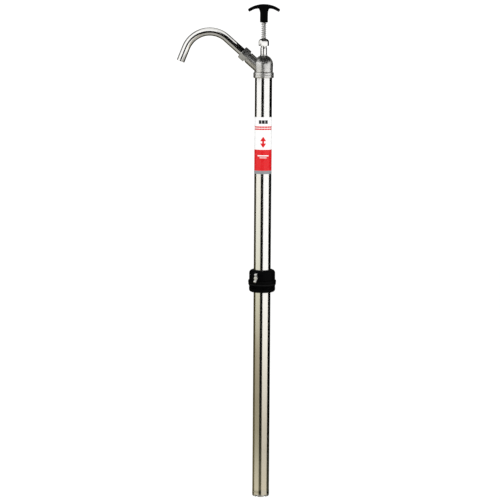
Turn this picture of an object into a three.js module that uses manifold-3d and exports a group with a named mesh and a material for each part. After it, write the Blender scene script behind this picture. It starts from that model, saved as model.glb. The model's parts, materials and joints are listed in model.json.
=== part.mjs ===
// Lift-action hand drum pump: a stainless barrel with a foot valve, a piston on a long rod with a T-handle,
// a domed head with an inclined side arm and a swan-neck spout, and a bung adapter clamped on the barrel.
// Millimetres, +Z up along the barrel. The origin is on the barrel's axis, at the plane where the adapter's
// gasket seats on the drum's bung. The spout points towards -X.
import * as THREE from "three";
import { mergeVertices } from "three/addons/utils/BufferGeometryUtils.js";
import Module from "manifold-3d";

const wasm = await Module();
wasm.setup();

// ---------- driving dimensions ----------
const GAP = 0.3; // between pieces that touch face to face
const FACETS = 24; // round the barrel's axis: the same for every sleeve, so that close fits stay parallel
const SMALL_FACETS = 16; // round the rod's sleeves
const ARM_FACETS = 20; // round the side arm and the spout

const BARREL = { radius: 19.05, wall: 1.2, bottom: -482, top: 478, beadHeight: 4, beadRise: 0.65 };
const BARREL_BORE = BARREL.radius - BARREL.wall;
const LABEL = { bottom: 249.6, top: 375.4, film: 0.25, lift: 0.05 };

const HEAD = {
  ringRadius: 22.6,
  ringBottom: 461.2,
  ringTop: 474,
  domeRadius: 20.9,
  domeCentre: 490.8,
  wall: 3.7,
};
const HEAD_TOP = HEAD.domeCentre + HEAD.domeRadius + 0.3;
const ARM = {
  originZ: 475.7,
  slopeDeg: 41.5,
  radius: 12.6,
  shoulder: 46,
  nippleRadius: 10.8,
  nippleEnd: 57,
  bore: 8,
};
const NECK = {
  radius: 7.4,
  thread: 6.9,
  bore: 5.85,
  relief: 6.5,
  bottom: 500.5,
  boxFloor: 514,
  reliefBottom: 527.8,
  top: 541,
};
const PACKING = { count: 4, height: 3.6, inner: 4.1, outer: 5.7 };
const GLAND_NUT = { acrossFlats: 20.6, bottom: 531.5, top: 547, turnDeg: 14, roof: 543.3 };

const SPOUT = { radius: 9, wall: 1, start: 59, straight: 109, bend: 56.5, turnDeg: 109.5, tip: 32 };
const SPOUT_NUT = { acrossFlats: 27, back: 48.3, front: 64.2, turnDeg: 20.4 };

const ROD = { radius: 4, journal: 3.2, bottom: -445, top: 601 };
const STROKE = 420; // the plunger's travel, until its stop collar meets the neck
const HUB = { radius: 8.7, bottom: 582.6 };
const INSERT = { radius: 5.6, bottom: 587 };
const WING = {
  halfSpan: 35.2,
  top: 622.6,
  under: 612.7,
  topRadius: 62,
  tipDrop: 2.2,
  depth: 18,
  round: 2.4,
};
const SPRING = { wire: 0.65, mean: 4.85, endTurns: 1, pitch: 4.4, endPitch: 1.5 };

const PISTON = { flange: 16.8, core: 12, bottom: -434, flangeTop: -430, seat: -418 };
const PORTS = { count: 6, radius: 2.5, circle: 8.2 };
const CUP = { inner: 12.3, outer: 17.6, base: 1.6, lip: 1.3, height: 5.2 };
const VALVE_LIFT = 4;
const FOOT = {
  radius: 17.7,
  rim: 19.2,
  bottom: -487,
  top: -456,
  inlet: 9,
  chamber: 13,
  seatBottom: -474,
  seatTop: -468,
};
const BALL = { radius: 11, lift: 6 };

const ADAPTER = {
  bore: 19.6,
  plug: 29.8,
  bottom: -16.5,
  flange: 31.4,
  flangeBottom: 3.6,
  flangeTop: 11,
  sleeve: 24.5,
};
const THREAD = { pitch: 2.309, depth: 1.1, turns: 4 };
const COLLAR = { radius: 29.2, inner: 24.8, top: 34, roof: 31, shoulder: 7.5 };
const SCREW = {
  height: 18.4,
  turnDeg: 24,
  shank: 3,
  tip: 20,
  hub: 31.2,
  head: 37,
  wingSpan: 10.8,
  wingThick: 6,
  wingTurnDeg: -6,
};

// ---------- materials ----------
function finish(color, roughness, metalness) {
  return new THREE.MeshStandardMaterial({ color, roughness, metalness });
}
const POLISHED_STEEL = finish(0xd8d6cc, 0.12, 1);
const SATIN_STEEL = finish(0xb9bab4, 0.38, 1);
const BLACK_PLASTIC = finish(0x111112, 0.42, 0);
const BLACK_RUBBER = finish(0x1a1a1a, 0.75, 0);
const PTFE = finish(0xf0efe9, 0.5, 0);
const LABEL_FILM = finish(0xf4f4f2, 0.35, 0);
const BRASS = finish(0xc9a04c, 0.3, 1);

// ---------- helpers ----------
const pump = new THREE.Group();
const rad = THREE.MathUtils.degToRad;

// Adds one named sub-part to a group.
function add(name, geometry, material, parent = pump) {
  const mesh = new THREE.Mesh(geometry, material);
  mesh.name = name;
  parent.add(mesh);
  return mesh;
}

// A solid of revolution about +Z. Its profile is [radius, z] points, anticlockwise with radius to the right.
function turned(profile, facets = FACETS) {
  const points = profile.map(([r, z]) => new THREE.Vector2(r, z));
  return new THREE.LatheGeometry(points, facets).rotateX(Math.PI / 2);
}

const disc = (r, z0, z1, facets) => turned([[0, z0], [r, z0], [r, z1], [0, z1]], facets);

function ring(inner, outer, z0, z1, facets) {
  return turned([[inner, z0], [outer, z0], [outer, z1], [inner, z1], [inner, z0]], facets);
}

// Profile points on an arc about (r, z), from one angle to another, in degrees.
function arc(r, z, radius, fromDeg, toDeg, steps) {
  return Array.from({ length: steps + 1 }, (_, i) => {
    const a = rad(fromDeg + ((toDeg - fromDeg) * i) / steps);
    return [r + radius * Math.cos(a), z + radius * Math.sin(a)];
  });
}

function oRing(mean, section, z) {
  const profile = arc(mean, z, section, 0, 360, 6);
  profile[profile.length - 1] = profile[0];
  return turned(profile);
}

function box(x, y, z, width, depth, height) {
  return new THREE.BoxGeometry(width, depth, height).translate(x, y, z);
}

function rod(radius, length, facets = SMALL_FACETS) {
  return new THREE.CylinderGeometry(radius, radius, length, facets);
}

// Geometry to manifold solid and back.
function solid(geometry) {
  const bare = geometry.clone();
  bare.deleteAttribute("normal");
  bare.deleteAttribute("uv");
  const merged = mergeVertices(bare, 1e-4);
  const vertProperties = merged.attributes.position.array;
  const triVerts = new Uint32Array(merged.index.array);
  return new wasm.Manifold(new wasm.Mesh({ numProp: 3, vertProperties, triVerts }));
}

function geometryOf(manifold) {
  const { vertProperties, triVerts } = manifold.getMesh();
  const geometry = new THREE.BufferGeometry();
  geometry.setAttribute("position", new THREE.BufferAttribute(new Float32Array(vertProperties), 3));
  geometry.setIndex(new THREE.BufferAttribute(new Uint32Array(triVerts), 1));
  return geometry;
}

function join(first, ...others) {
  return geometryOf(others.reduce((made, g) => made.add(solid(g)), solid(first)));
}

function cut(first, ...others) {
  return geometryOf(others.reduce((made, g) => made.subtract(solid(g)), solid(first)));
}

const common = (a, b) => geometryOf(solid(a).intersect(solid(b)));

// A hexagonal bar along +Z with its corners turned off by a chamfer at each end.
function hexagon(acrossFlats, z0, z1, turnDeg, topChamfer, bottomChamfer) {
  const corner = acrossFlats / Math.sqrt(3);
  const bar = new THREE.CylinderGeometry(corner, corner, z1 - z0, 6).rotateX(Math.PI / 2);
  bar.rotateZ(rad(90 + turnDeg)).translate(0, 0, (z0 + z1) / 2);
  const [topIn, topDown] = topChamfer;
  const [bottomIn, bottomUp] = bottomChamfer;
  const envelope = [
    [0, z0 - 1],
    [corner - bottomIn, z0 - 1],
    [corner - bottomIn, z0],
    [corner + 0.1, z0 + bottomUp],
    [corner + 0.1, z1 - topDown],
    [corner - topIn, z1],
    [0, z1],
  ];
  return common(bar, turned(envelope, ARM_FACETS));
}

// ---------- barrel, label and foot valve ----------
function barrel() {
  const { radius, bottom, top, beadHeight, beadRise } = BARREL;
  const beadTop = bottom + beadHeight;
  return turned([
    [BARREL_BORE, bottom],
    [radius, bottom],
    [radius + beadRise, bottom + 1],
    [radius + beadRise, beadTop - 1],
    [radius, beadTop],
    [radius, top],
    [BARREL_BORE, top],
    [BARREL_BORE, bottom],
  ]);
}

function footValveBody() {
  const { radius, rim, bottom, top, inlet, chamber, seatBottom, seatTop } = FOOT;
  const groove = { radius: 15.5, bottom: -467.6, top: -464.4 };
  const slot = { width: 5, depth: 4 };
  const body = turned([
    [inlet, bottom],
    [rim - 0.8, bottom],
    [rim, bottom + 0.8],
    [rim, BARREL.bottom - GAP],
    [radius, BARREL.bottom - GAP],
    [radius, groove.bottom],
    [groove.radius, groove.bottom],
    [groove.radius, groove.top],
    [radius, groove.top],
    [radius, top],
    [chamber, top],
    [chamber, seatTop],
    [inlet, seatBottom],
    [inlet, bottom],
  ]);
  const slots = [0, 60, 120].map((deg) => {
    const across = box(0, 0, bottom, 2 * rim + 2, slot.width, 2 * slot.depth);
    return across.rotateZ(rad(deg));
  });
  return cut(body, ...slots);
}

// The ball rests with its surface just clear of the conical seat.
function ballCentre() {
  const run = FOOT.chamber - FOOT.inlet;
  const rise = FOOT.seatTop - FOOT.seatBottom;
  const slant = Math.hypot(run, rise);
  return FOOT.seatBottom + ((BALL.radius + 0.1) * slant - FOOT.inlet * rise) / run;
}

function footValveCage() {
  const barBottom = ballCentre() + BALL.radius + BALL.lift + GAP;
  const bar = { width: 5, thick: 2.7, postInner: 13.2 };
  const barTop = barBottom + bar.thick;
  const base = FOOT.top + GAP;
  const outer = FOOT.radius - 0.4;
  const posts = ring(bar.postInner, outer, base, barTop);
  const middle = (barBottom + barTop) / 2;
  const bars = join(
    box(0, 0, middle, 2 * outer, bar.width, bar.thick),
    box(0, 0, middle, bar.width, 2 * outer, bar.thick),
  );
  const height = barTop - base + 1;
  const lanes = join(
    box(0, 0, base + height / 2, 2 * outer + 2, bar.width, height),
    box(0, 0, base + height / 2, bar.width, 2 * outer + 2, height),
  );
  const trimmed = common(bars, disc(outer, base, barTop));
  return join(common(posts, lanes), ring(bar.postInner, outer, base, base + 2.4), trimmed);
}

add("pump_barrel", barrel(), POLISHED_STEEL);
const labelInner = BARREL.radius + LABEL.lift;
add("barrel_label", ring(labelInner, labelInner + LABEL.film, LABEL.bottom, LABEL.top), LABEL_FILM);
add("foot_valve_body", footValveBody(), SATIN_STEEL);
add("foot_valve_o_ring", oRing(16.6, 1, -466), BLACK_RUBBER);
add("foot_valve_cage", footValveCage(), SATIN_STEEL);
const ball = new THREE.SphereGeometry(BALL.radius, 18, 10).translate(0, 0, ballCentre());
add("foot_valve_ball", ball, POLISHED_STEEL);

// ---------- head, gland and buffer spring ----------
// Everything along the side arm is built along +Z in this group, which starts at the barrel's axis.
const arm = new THREE.Group();
arm.position.set(0, 0, ARM.originZ);
arm.rotation.y = -rad(90 - ARM.slopeDeg);
pump.add(arm);
arm.updateMatrix();
const onArm = (geometry) => geometry.clone().applyMatrix4(arm.matrix);

const HEAD_SEAL = { mean: 20.25, section: 0.95, z: 469.6, groove: 21.4 };

function pumpHead() {
  const { ringRadius, ringBottom, ringTop, domeRadius, domeCentre, wall } = HEAD;
  const boss = 8.2;
  const bossAngle = THREE.MathUtils.radToDeg(Math.acos(boss / domeRadius));
  const outside = turned([
    [0, ringBottom],
    [ringRadius - 2.2, ringBottom],
    [ringRadius, ringBottom + 2.2],
    [ringRadius, ringTop - 2.2],
    [ringRadius - 1.2, ringTop - 0.4],
    [domeRadius, ringTop],
    ...arc(0, domeCentre, domeRadius, 0, bossAngle, 6),
    [boss, HEAD_TOP],
    [0, HEAD_TOP],
  ]);
  const armOutside = turned([
    [0, 0],
    [ARM.radius, 0],
    [ARM.radius, ARM.shoulder - 0.8],
    [ARM.radius - 0.8, ARM.shoulder],
    [ARM.nippleRadius, ARM.shoulder],
    [ARM.nippleRadius, ARM.nippleEnd],
    [0, ARM.nippleEnd],
  ], ARM_FACETS);
  const socket = disc(BARREL.radius + 0.2, ringBottom - 1, BARREL.top + GAP);
  const groove = disc(HEAD_SEAL.groove, HEAD_SEAL.z - 1.2, HEAD_SEAL.z + 1.2);
  const cavityRadius = domeRadius - wall;
  const cavity = turned([
    [0, BARREL.top],
    [cavityRadius, BARREL.top],
    ...arc(0, domeCentre, cavityRadius, 0, 90, 3),
  ]);
  const neckHole = disc(NECK.thread + 0.2, domeCentre, HEAD_TOP + 1, SMALL_FACETS);
  const armBore = onArm(disc(ARM.bore, 8, ARM.nippleEnd + 1, ARM_FACETS));
  return cut(join(outside, onArm(armOutside)), socket, groove, cavity, neckHole, armBore);
}

function glandNeck() {
  const { radius, thread, bore, relief, bottom, boxFloor, reliefBottom, top } = NECK;
  const rodBore = ROD.radius + 0.25;
  return turned([
    [rodBore, bottom],
    [thread, bottom],
    [thread, HEAD_TOP + GAP],
    [radius, HEAD_TOP + GAP],
    [radius, reliefBottom],
    [relief, reliefBottom],
    [relief, GLAND_NUT.bottom],
    [thread, GLAND_NUT.bottom + 0.5],
    [thread, top],
    [bore, top],
    [bore, boxFloor],
    [rodBore, boxFloor],
    [rodBore, bottom],
  ], SMALL_FACETS);
}

function glandFollower() {
  const inner = ROD.radius + 0.2;
  const bottom = NECK.boxFloor + PACKING.count * (PACKING.height + GAP) + GAP;
  const flangeTop = GLAND_NUT.roof - GAP;
  return turned([
    [inner, bottom],
    [PACKING.outer, bottom],
    [PACKING.outer, NECK.top + GAP],
    [6.7, NECK.top + GAP],
    [6.7, flangeTop],
    [inner, flangeTop],
    [inner, bottom],
  ], SMALL_FACETS);
}

function glandNut() {
  const { acrossFlats, bottom, top, turnDeg, roof } = GLAND_NUT;
  const body = hexagon(acrossFlats, bottom, top, turnDeg, [5.6, 6.4], [1.2, 0.9]);
  const threadHole = disc(NECK.thread + 0.2, bottom - 1, roof, SMALL_FACETS);
  return cut(body, threadHole, disc(ROD.radius + 0.35, bottom, top + 1, SMALL_FACETS));
}

// A compression spring with closed ends, as a tube swept along a helix whose pitch tightens at both ends.
function bufferSpring() {
  const { wire, mean, endTurns, pitch, endPitch } = SPRING;
  const bottom = GLAND_NUT.top + GAP + wire;
  const rise = HUB.bottom - GAP - wire - bottom;
  const workingTurns = (rise - 2 * endTurns * endPitch) / pitch;
  const turns = workingTurns + 2 * endTurns;
  const height = (turn) => {
    const fromBottom = Math.min(turn, endTurns) * endPitch;
    const working = THREE.MathUtils.clamp(turn - endTurns, 0, workingTurns) * pitch;
    const last = Math.max(turn - endTurns - workingTurns, 0) * endPitch;
    return fromBottom + working + last;
  };
  const steps = Math.ceil(turns * 10);
  const points = Array.from({ length: steps + 1 }, (_, i) => {
    const turn = (turns * i) / steps;
    const angle = 2 * Math.PI * turn;
    return new THREE.Vector3(mean * Math.cos(angle), mean * Math.sin(angle), bottom + height(turn));
  });
  const section = new THREE.Shape().absarc(0, 0, wire, 0, 2 * Math.PI);
  const path = new THREE.CatmullRomCurve3(points);
  return new THREE.ExtrudeGeometry(section, { steps, curveSegments: 3, extrudePath: path });
}

add("pump_head", pumpHead(), SATIN_STEEL);
add("head_o_ring", oRing(HEAD_SEAL.mean, HEAD_SEAL.section, HEAD_SEAL.z), BLACK_RUBBER);
add("gland_neck", glandNeck(), POLISHED_STEEL);
for (let i = 0; i < PACKING.count; i++) {
  const z = NECK.boxFloor + GAP + i * (PACKING.height + GAP);
  const packing = ring(PACKING.inner, PACKING.outer, z, z + PACKING.height, SMALL_FACETS);
  add(`packing_ring_${i + 1}`, packing, PTFE);
}
add("gland_follower", glandFollower(), BRASS);
add("gland_nut", glandNut(), POLISHED_STEEL);
add("buffer_spring", bufferSpring(), POLISHED_STEEL);

// ---------- spout ----------
// The spout's centreline in the arm group's XZ plane: up +Z, round the bend towards -X, down the tip.
// The whole straight and the whole tip each take one of the sweep's steps, and the bend takes the rest.
const BEND_STEPS = 12;
class SpoutPath extends THREE.Curve {
  constructor(start, tip) {
    super();
    Object.assign(this, { start, tip });
  }
  getUtoTmapping(u) {
    return u;
  }
  getPoint(t, target = new THREE.Vector3()) {
    const { straight, bend, turnDeg } = SPOUT;
    const step = t * (BEND_STEPS + 2);
    const turn = (rad(turnDeg) * THREE.MathUtils.clamp(step - 1, 0, BEND_STEPS)) / BEND_STEPS;
    const before = (1 - Math.min(step, 1)) * (straight - this.start);
    const after = Math.max(step - BEND_STEPS - 1, 0) * this.tip;
    const x = -bend * (1 - Math.cos(turn)) - after * Math.sin(turn);
    return target.set(x, 0, straight - before + bend * Math.sin(turn) + after * Math.cos(turn));
  }
}

function spoutSweep(radius, start, tip) {
  const section = new THREE.Shape().absarc(0, 0, radius, 0, 2 * Math.PI);
  return new THREE.ExtrudeGeometry(section, {
    steps: BEND_STEPS + 2,
    curveSegments: ARM_FACETS / 2,
    extrudePath: new SpoutPath(start, tip),
  });
}

function spoutTube() {
  const { radius, wall, start, tip } = SPOUT;
  return cut(spoutSweep(radius, start, tip), spoutSweep(radius - wall, start - 1, tip + 1));
}

function spoutNut() {
  const { acrossFlats, back, front, turnDeg } = SPOUT_NUT;
  const body = hexagon(acrossFlats, back, front, turnDeg, [2.6, 1.8], [1.6, 1.1]);
  const thread = disc(ARM.nippleRadius + 0.2, back - 1, 61.6, ARM_FACETS);
  return cut(body, thread, disc(SPOUT.radius + 0.35, back, front + 1, ARM_FACETS));
}

add("spout_tube", spoutTube(), POLISHED_STEEL, arm);
add("spout_ferrule", ring(SPOUT.radius + 0.2, 10.7, 59.2, 61.2, ARM_FACETS), BRASS, arm);
const washerBottom = ARM.nippleEnd + GAP;
const sealWasher = ring(ARM.bore + 0.2, 10.6, washerBottom, washerBottom + 1.3, ARM_FACETS);
add("spout_seal_washer", sealWasher, PTFE, arm);
add("spout_nut", spoutNut(), SATIN_STEEL, arm);

// ---------- rod and T-handle ----------
const VALVE_STOP = { bottom: PISTON.seat + GAP + 2 + VALVE_LIFT + GAP, height: 5, radius: 7.6 };
const STROKE_STOP = { top: NECK.bottom - STROKE - 0.5, height: 8, radius: 6.6 };
const PIN = { radius: 1.2, hole: 1.45 };
const valvePinZ = VALVE_STOP.bottom + VALVE_STOP.height / 2;

const crossHole = (z) => rod(PIN.hole, 30, 12).rotateZ(Math.PI / 2).translate(0, 0, z);
const crossPin = (length, z) => rod(PIN.radius, length, 12).rotateZ(Math.PI / 2).translate(0, 0, z);

function pumpRod() {
  const { radius, journal, bottom, top } = ROD;
  const shoulder = PISTON.seat + GAP;
  const bar = turned([
    [0, bottom],
    [journal - 0.5, bottom],
    [journal, bottom + 0.5],
    [journal, shoulder],
    [radius, shoulder],
    [radius, top],
    [0, top],
  ], SMALL_FACETS);
  return cut(bar, crossHole(valvePinZ));
}

// The handle's face outline: an arched top, drooping wing tips and a filleted hub.
function handleOutline() {
  const { halfSpan, top, topRadius, tipDrop, round, under } = WING;
  const crown = top - topRadius;
  const arcRadius = topRadius - round;
  const tipX = halfSpan - round;
  const tipZ = crown + Math.sqrt(arcRadius ** 2 - tipX ** 2);
  const tipAngle = Math.asin((tipZ - crown) / arcRadius);
  const underside = under + round;
  const hubX = HUB.radius - round;
  const [wingX, filletX, filletZ] = [22, 13.5, 8.5];
  const shape = new THREE.Shape().absarc(0, crown, arcRadius, tipAngle, Math.PI - tipAngle, false);
  shape.lineTo(0.4 - tipX, tipZ - tipDrop);
  shape.quadraticCurveTo(-wingX, underside, -filletX, underside);
  shape.quadraticCurveTo(-hubX, underside, -hubX, underside - filletZ);
  shape.lineTo(hubX, underside - filletZ);
  shape.quadraticCurveTo(hubX, underside, filletX, underside);
  shape.quadraticCurveTo(wingX, underside, tipX - 0.4, tipZ - tipDrop);
  shape.closePath();
  return shape;
}

function handleGrip() {
  const { depth, round } = WING;
  const wings = new THREE.ExtrudeGeometry(handleOutline(), {
    depth: depth - 2 * round,
    bevelThickness: round,
    bevelSize: round,
    bevelSegments: 2,
    curveSegments: 6,
  });
  wings.rotateX(Math.PI / 2).translate(0, depth / 2 - round, 0);
  const hub = turned([
    [0, HUB.bottom],
    [HUB.radius - 1.6, HUB.bottom],
    [HUB.radius - 0.2, HUB.bottom + 1.8],
    [HUB.radius, HUB.bottom + 20],
    [HUB.radius, WING.top - 6],
    [0, WING.top - 6],
  ], ARM_FACETS);
  const rodHole = disc(ROD.radius + 0.2, HUB.bottom - 1, ROD.top + GAP, SMALL_FACETS);
  const pocket = disc(INSERT.radius + GAP, INSERT.bottom - GAP, ROD.top + GAP, SMALL_FACETS);
  return cut(join(wings, hub), rodHole, pocket);
}

add("pump_rod", pumpRod(), POLISHED_STEEL);
add("handle_grip", handleGrip(), BLACK_PLASTIC);
const insert = ring(ROD.radius + 0.15, INSERT.radius, INSERT.bottom, ROD.top, SMALL_FACETS);
add("handle_insert", insert, BRASS);

function valveStopCollar() {
  const { radius, bottom, height } = VALVE_STOP;
  const collar = ring(ROD.radius + 0.15, radius, bottom, bottom + height, SMALL_FACETS);
  return cut(collar, crossHole(valvePinZ));
}

function strokeStopCollar() {
  const { radius, top, height } = STROKE_STOP;
  return ring(ROD.radius + 0.15, radius, top - height, top, SMALL_FACETS);
}

add("valve_stop_collar", valveStopCollar(), SATIN_STEEL);
add("valve_stop_pin", crossPin(14, valvePinZ), SATIN_STEEL);
add("stroke_stop_collar", strokeStopCollar(), SATIN_STEEL);

// ---------- piston ----------
function pistonBody() {
  const { flange, core, bottom, flangeTop, seat } = PISTON;
  const bore = ROD.journal + 0.3;
  const body = turned([
    [bore, bottom],
    [flange, bottom],
    [flange, flangeTop],
    [core, flangeTop],
    [core, seat],
    [bore, seat],
    [bore, bottom],
  ]);
  const drilled = Array.from({ length: PORTS.count }, (_, i) => {
    const angle = (2 * Math.PI * i) / PORTS.count;
    const hole = rod(PORTS.radius, seat - bottom + 2, 8).rotateX(Math.PI / 2);
    return hole.translate(PORTS.circle, 0, (seat + bottom) / 2).rotateZ(angle);
  });
  return cut(body, ...drilled);
}

// A cup seal: a flat base with a lip that stands up against the barrel's bore.
function pistonCup(z) {
  const { inner, outer, base, lip, height } = CUP;
  return turned([
    [inner, z],
    [outer - 0.6, z],
    [outer, z + base],
    [outer, z + height],
    [outer - lip, z + height],
    [outer - lip, z + base],
    [inner, z + base],
    [inner, z],
  ]);
}

const lowerCup = PISTON.flangeTop + GAP;
const upperCup = lowerCup + CUP.height + GAP;
add("piston_body", pistonBody(), SATIN_STEEL);
add("piston_cup_lower", pistonCup(lowerCup), PTFE);
const inCup = CUP.outer - CUP.lip - GAP;
add("cup_spacer", ring(CUP.inner, inCup, lowerCup + CUP.base + GAP, upperCup - GAP), SATIN_STEEL);
add("piston_cup_upper", pistonCup(upperCup), PTFE);
const retainer = ring(CUP.inner, inCup, upperCup + CUP.base + GAP, PISTON.seat - GAP);
add("cup_retaining_ring", retainer, SATIN_STEEL);
const valveDisc = ring(ROD.radius + 0.4, 11.4, PISTON.seat + GAP, PISTON.seat + GAP + 2);
add("piston_valve_disc", valveDisc, PTFE);
const washerTop = PISTON.bottom - GAP;
const endWasher = ring(ROD.journal + 0.15, 5.5, washerTop - 1.5, washerTop, SMALL_FACETS);
add("rod_end_washer", endWasher, SATIN_STEEL);

function rodEndNut() {
  const top = PISTON.bottom - 2 * GAP - 1.5;
  const body = hexagon(11, top - 6.5, top, 0, [0.6, 0.5], [0.6, 0.5]);
  return cut(body, disc(ROD.journal + 0.15, top - 8, top + 1, SMALL_FACETS));
}
add("rod_end_nut", rodEndNut(), SATIN_STEEL);

// ---------- bung adapter ----------
// The clamp screw is built along +Z in this group, which points radially out of the adapter.
const screwMount = new THREE.Group();
screwMount.position.set(0, 0, SCREW.height);
screwMount.rotation.order = "ZYX";
screwMount.rotation.z = rad(-90 - SCREW.turnDeg);
screwMount.rotation.y = Math.PI / 2;
pump.add(screwMount);
screwMount.updateMatrix();
const onScrew = (geometry) => geometry.clone().applyMatrix4(screwMount.matrix);
const screwHole = () => onScrew(disc(SCREW.shank + 0.35, 10, 40, SMALL_FACETS));

function adapterBody() {
  const { bore, plug, bottom, flange, flangeBottom, flangeTop, sleeve } = ADAPTER;
  const { pitch, depth, turns } = THREAD;
  const runOut = -0.6;
  const ridges = Array.from({ length: turns }, (_, i) => {
    const z = runOut - (turns - i) * pitch;
    return [[plug, z + 0.25 * pitch], [plug - depth, z + 0.75 * pitch]];
  }).flat();
  const round = 7;
  const body = turned([
    [bore, bottom],
    ...arc(plug - round - 1, bottom + round, round, -90, -10, 4),
    ...ridges,
    [plug, runOut],
    [plug, flangeBottom],
    [flange - 0.8, flangeBottom],
    [flange, flangeBottom + 1.6],
    [flange, flangeTop - 2.4],
    [flange - 0.7, flangeTop - 0.8],
    [flange - 2, flangeTop],
    [sleeve, flangeTop],
    [sleeve, COLLAR.roof - 3.3],
    [bore, COLLAR.roof - 3.3],
    [bore, bottom],
  ]);
  const slotHeight = COLLAR.roof;
  const slotMiddle = flangeTop + 2 + slotHeight / 2;
  const slots = [box(0, 0, slotMiddle, 60, 2, slotHeight), box(0, 0, slotMiddle, 2, 60, slotHeight)];
  return cut(body, screwHole(), ...slots);
}

function clampCollar() {
  const { radius, inner, top, roof, shoulder } = COLLAR;
  const mouth = ADAPTER.bore + 0.2;
  const bottom = ADAPTER.flangeTop + GAP;
  const shell = turned([
    [inner, bottom],
    [radius, bottom],
    ...arc(radius - shoulder, top - shoulder, shoulder, 0, 90, 5),
    [mouth, top],
    [mouth, roof],
    [inner, roof],
    [inner, bottom],
  ]);
  const boss = onScrew(disc(4.6, 27, SCREW.hub - 0.7, SMALL_FACETS));
  return cut(join(shell, boss), screwHole());
}

function clampWingScrew() {
  const { shank, tip, hub, head, wingSpan, wingThick, wingTurnDeg } = SCREW;
  const stem = turned([
    [0, tip],
    [shank - 0.5, tip],
    [shank, tip + 0.5],
    [shank, hub],
    [4.6, hub],
    [4.2, head],
    [0, head],
  ], SMALL_FACETS);
  const outline = new THREE.Shape();
  outline.moveTo(0, hub + 0.8);
  outline.lineTo(wingSpan - 3, hub + 0.8);
  outline.quadraticCurveTo(wingSpan, hub + 1, wingSpan, hub + 4.5);
  outline.quadraticCurveTo(wingSpan, head + 3.6, wingSpan - 3, head + 3.6);
  outline.quadraticCurveTo(wingSpan - 6, head + 3, 4.4, head - 0.6);
  outline.lineTo(0, head - 1);
  const blade = new THREE.ExtrudeGeometry(outline, {
    depth: wingThick,
    bevelEnabled: false,
    curveSegments: 6,
  });
  blade.translate(0, 0, -wingThick / 2).rotateX(Math.PI / 2);
  const opposite = blade.clone().rotateZ(Math.PI);
  return join(stem, blade, opposite).rotateZ(rad(wingTurnDeg));
}

add("adapter_body", adapterBody(), BLACK_PLASTIC);
const gasket = ring(ADAPTER.plug + 0.15, ADAPTER.flange - 0.3, 0, ADAPTER.flangeBottom - GAP);
add("bung_gasket", gasket, BLACK_RUBBER);
add("clamp_collar", clampCollar(), BLACK_PLASTIC);
add("clamp_seal", ring(19.45, COLLAR.inner - GAP, COLLAR.roof - 3, COLLAR.roof - GAP), BLACK_RUBBER);
add("clamp_wing_screw", clampWingScrew(), SATIN_STEEL, screwMount);

export default pump;
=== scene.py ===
"""Looks of a lift-action hand drum pump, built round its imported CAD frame.

Shapes are written in millimetres and become metres when a mesh is made. +Z runs up the barrel, the spout
points towards -X, and the camera looks from the front, which is -Y.
"""

import json
import math

import bmesh
import bpy
from mathutils import Matrix, Vector


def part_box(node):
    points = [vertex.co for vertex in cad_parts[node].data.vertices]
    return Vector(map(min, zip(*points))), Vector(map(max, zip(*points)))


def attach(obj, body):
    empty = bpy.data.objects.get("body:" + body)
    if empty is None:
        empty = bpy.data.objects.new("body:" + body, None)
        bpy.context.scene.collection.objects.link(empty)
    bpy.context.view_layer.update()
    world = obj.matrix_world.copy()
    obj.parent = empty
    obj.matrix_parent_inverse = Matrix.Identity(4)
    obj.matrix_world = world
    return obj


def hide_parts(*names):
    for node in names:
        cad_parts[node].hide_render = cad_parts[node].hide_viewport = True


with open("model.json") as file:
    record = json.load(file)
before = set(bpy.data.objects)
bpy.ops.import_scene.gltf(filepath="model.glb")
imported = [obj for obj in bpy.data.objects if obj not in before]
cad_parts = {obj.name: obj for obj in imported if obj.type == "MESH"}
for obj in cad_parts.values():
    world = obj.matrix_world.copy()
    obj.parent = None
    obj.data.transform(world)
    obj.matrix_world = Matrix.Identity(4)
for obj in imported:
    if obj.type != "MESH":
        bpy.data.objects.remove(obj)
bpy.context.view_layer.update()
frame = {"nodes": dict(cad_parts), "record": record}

MM = 0.001
TURN = 2 * math.pi
FINE = 96  # points round a turned piece

# ---------- driving sizes, in millimetres, shared with the CAD frame ----------
BARREL = {"radius": 19.05, "wall": 1.2, "swell": 0.3}
HEAD = {"ring": 22.6, "dome": 20.9, "centre": 490.8, "wall": 3.7, "boss": 8.2}
ARM = {"origin": 475.7, "slope": 41.5, "radius": 12.6, "shoulder": 46, "nipple": 10.8, "end": 57, "bore": 8}
SPOUT = {"radius": 9, "wall": 1, "start": 59, "straight": 109, "bend": 56.5, "turn": 109.5, "tip": 32}
NECK = {"thread": 6.9, "hole": 7.1, "relief": 6.4, "relief_low": 527.8, "bore": 4.25}
PACKING = {"radius": 5.85, "low": 514}
ROD = {"radius": 4, "journal": 3.2, "shoulder": -417.7}
WING = {"half_span": 35.2, "under": 612.7, "arc": 62, "depth": 18, "round": 2.4}
HUB = {"radius": 8.7, "flare": 15.5, "flare_height": 12, "sunk": 1.6, "deeper": 0.9}
PLUG = {"radius": 29.8, "bore": 19.6, "flange": 31.4, "sleeve": 24.5, "slot": 2}
THREAD = {"pitch": 2.309, "depth": 1.25, "top": -0.6}
COLLAR = {"radius": 29.2, "inner": 24.8, "mouth": 19.8, "shoulder": 7.5, "roof": 3}
SCREW = {"height": 18.4, "turn": 24, "shank": 3, "tip": 20, "hub": 31.2, "head": 37}
SCREW_HEAD = {"radius": 4.6, "top_radius": 4.2, "span": 10.8, "thick": 6, "round": 1.3, "turn": -6}


def size(node):
    """Lowest and highest corner of a CAD node, in millimetres."""
    low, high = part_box(node)
    return low / MM, high / MM


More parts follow.
